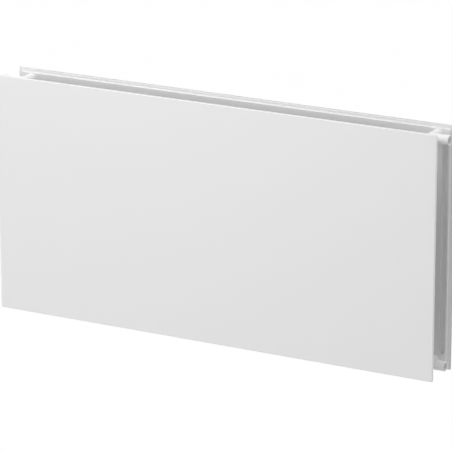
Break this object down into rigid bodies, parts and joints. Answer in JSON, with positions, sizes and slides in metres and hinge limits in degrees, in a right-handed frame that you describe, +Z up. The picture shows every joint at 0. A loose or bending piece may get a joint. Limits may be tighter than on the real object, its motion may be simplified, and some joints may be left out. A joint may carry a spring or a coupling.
{
  "type": "panel radiator",
  "caption": "Flat-fronted double panel steel radiator with side ports, corner tees, vent plug and hook-on wall brackets.",
  "frame": {"origin": "centre of the four wall screw holes, on the wall plane", "axes": "+X along the radiator to the open ports, +Y into the wall, +Z up; the front faces -Y"},
  "size_m": [1.2292, 0.145, 0.6],
  "materials": {
    "plate_paint": "satin white powder coat",
    "panel_paint": "satin white powder coat",
    "tee_paint": "satin white powder coat",
    "bracket_paint": "satin white powder coat",
    "nickel": "satin nickel plate",
    "screw_steel": "turned",
    "spout_plastic": "moulded",
    "nylon": "moulded",
    "seal_rubber": "matte"
  },
  "bodies": {
    "brackets": {"hook_liner_lower_left": "nylon", "hook_liner_lower_right": "nylon", "hook_liner_upper_left": "nylon", "hook_liner_upper_right": "nylon", "wall_bracket_left": "bracket_paint", "wall_bracket_right": "bracket_paint"},
    "radiator": {"blanking_plug": "nickel", "blanking_ring": "seal_rubber", "front_panel_back_sheet": "panel_paint", "front_panel_front_sheet": "panel_paint", "front_plate": "plate_paint", "lug_lower_left": "panel_paint", "lug_lower_right": "panel_paint", "lug_upper_left": "panel_paint", "lug_upper_right": "panel_paint", "rear_panel_back_sheet": "panel_paint", "rear_panel_front_sheet": "panel_paint", "tee_bottom_left": "tee_paint", "tee_bottom_right": "tee_paint", "tee_top_left": "tee_paint", "tee_top_right": "tee_paint", "vent_plug_body": "nickel", "vent_ring": "seal_rubber"},
    "spout": {"vent_swivel": "spout_plastic"},
    "screw": {"bleed_screw": "screw_steel"}
  },
  "joints": [
    {"name": "lift_off", "type": "slide", "parent": "brackets", "child": "radiator", "axis": [0, 0, 1], "range_m": [0, 0.02]},
    {"name": "spout_swivel", "type": "hinge", "parent": "radiator", "child": "spout", "pos_m": [-0.613, -0.0879, 0.276], "axis": [-1, 0, 0], "continuous": true},
    {"name": "bleed_turn", "type": "hinge", "parent": "radiator", "child": "screw", "pos_m": [-0.618, -0.0879, 0.276], "axis": [-1, 0, 0], "range_deg": [0, 360]}
  ]
}
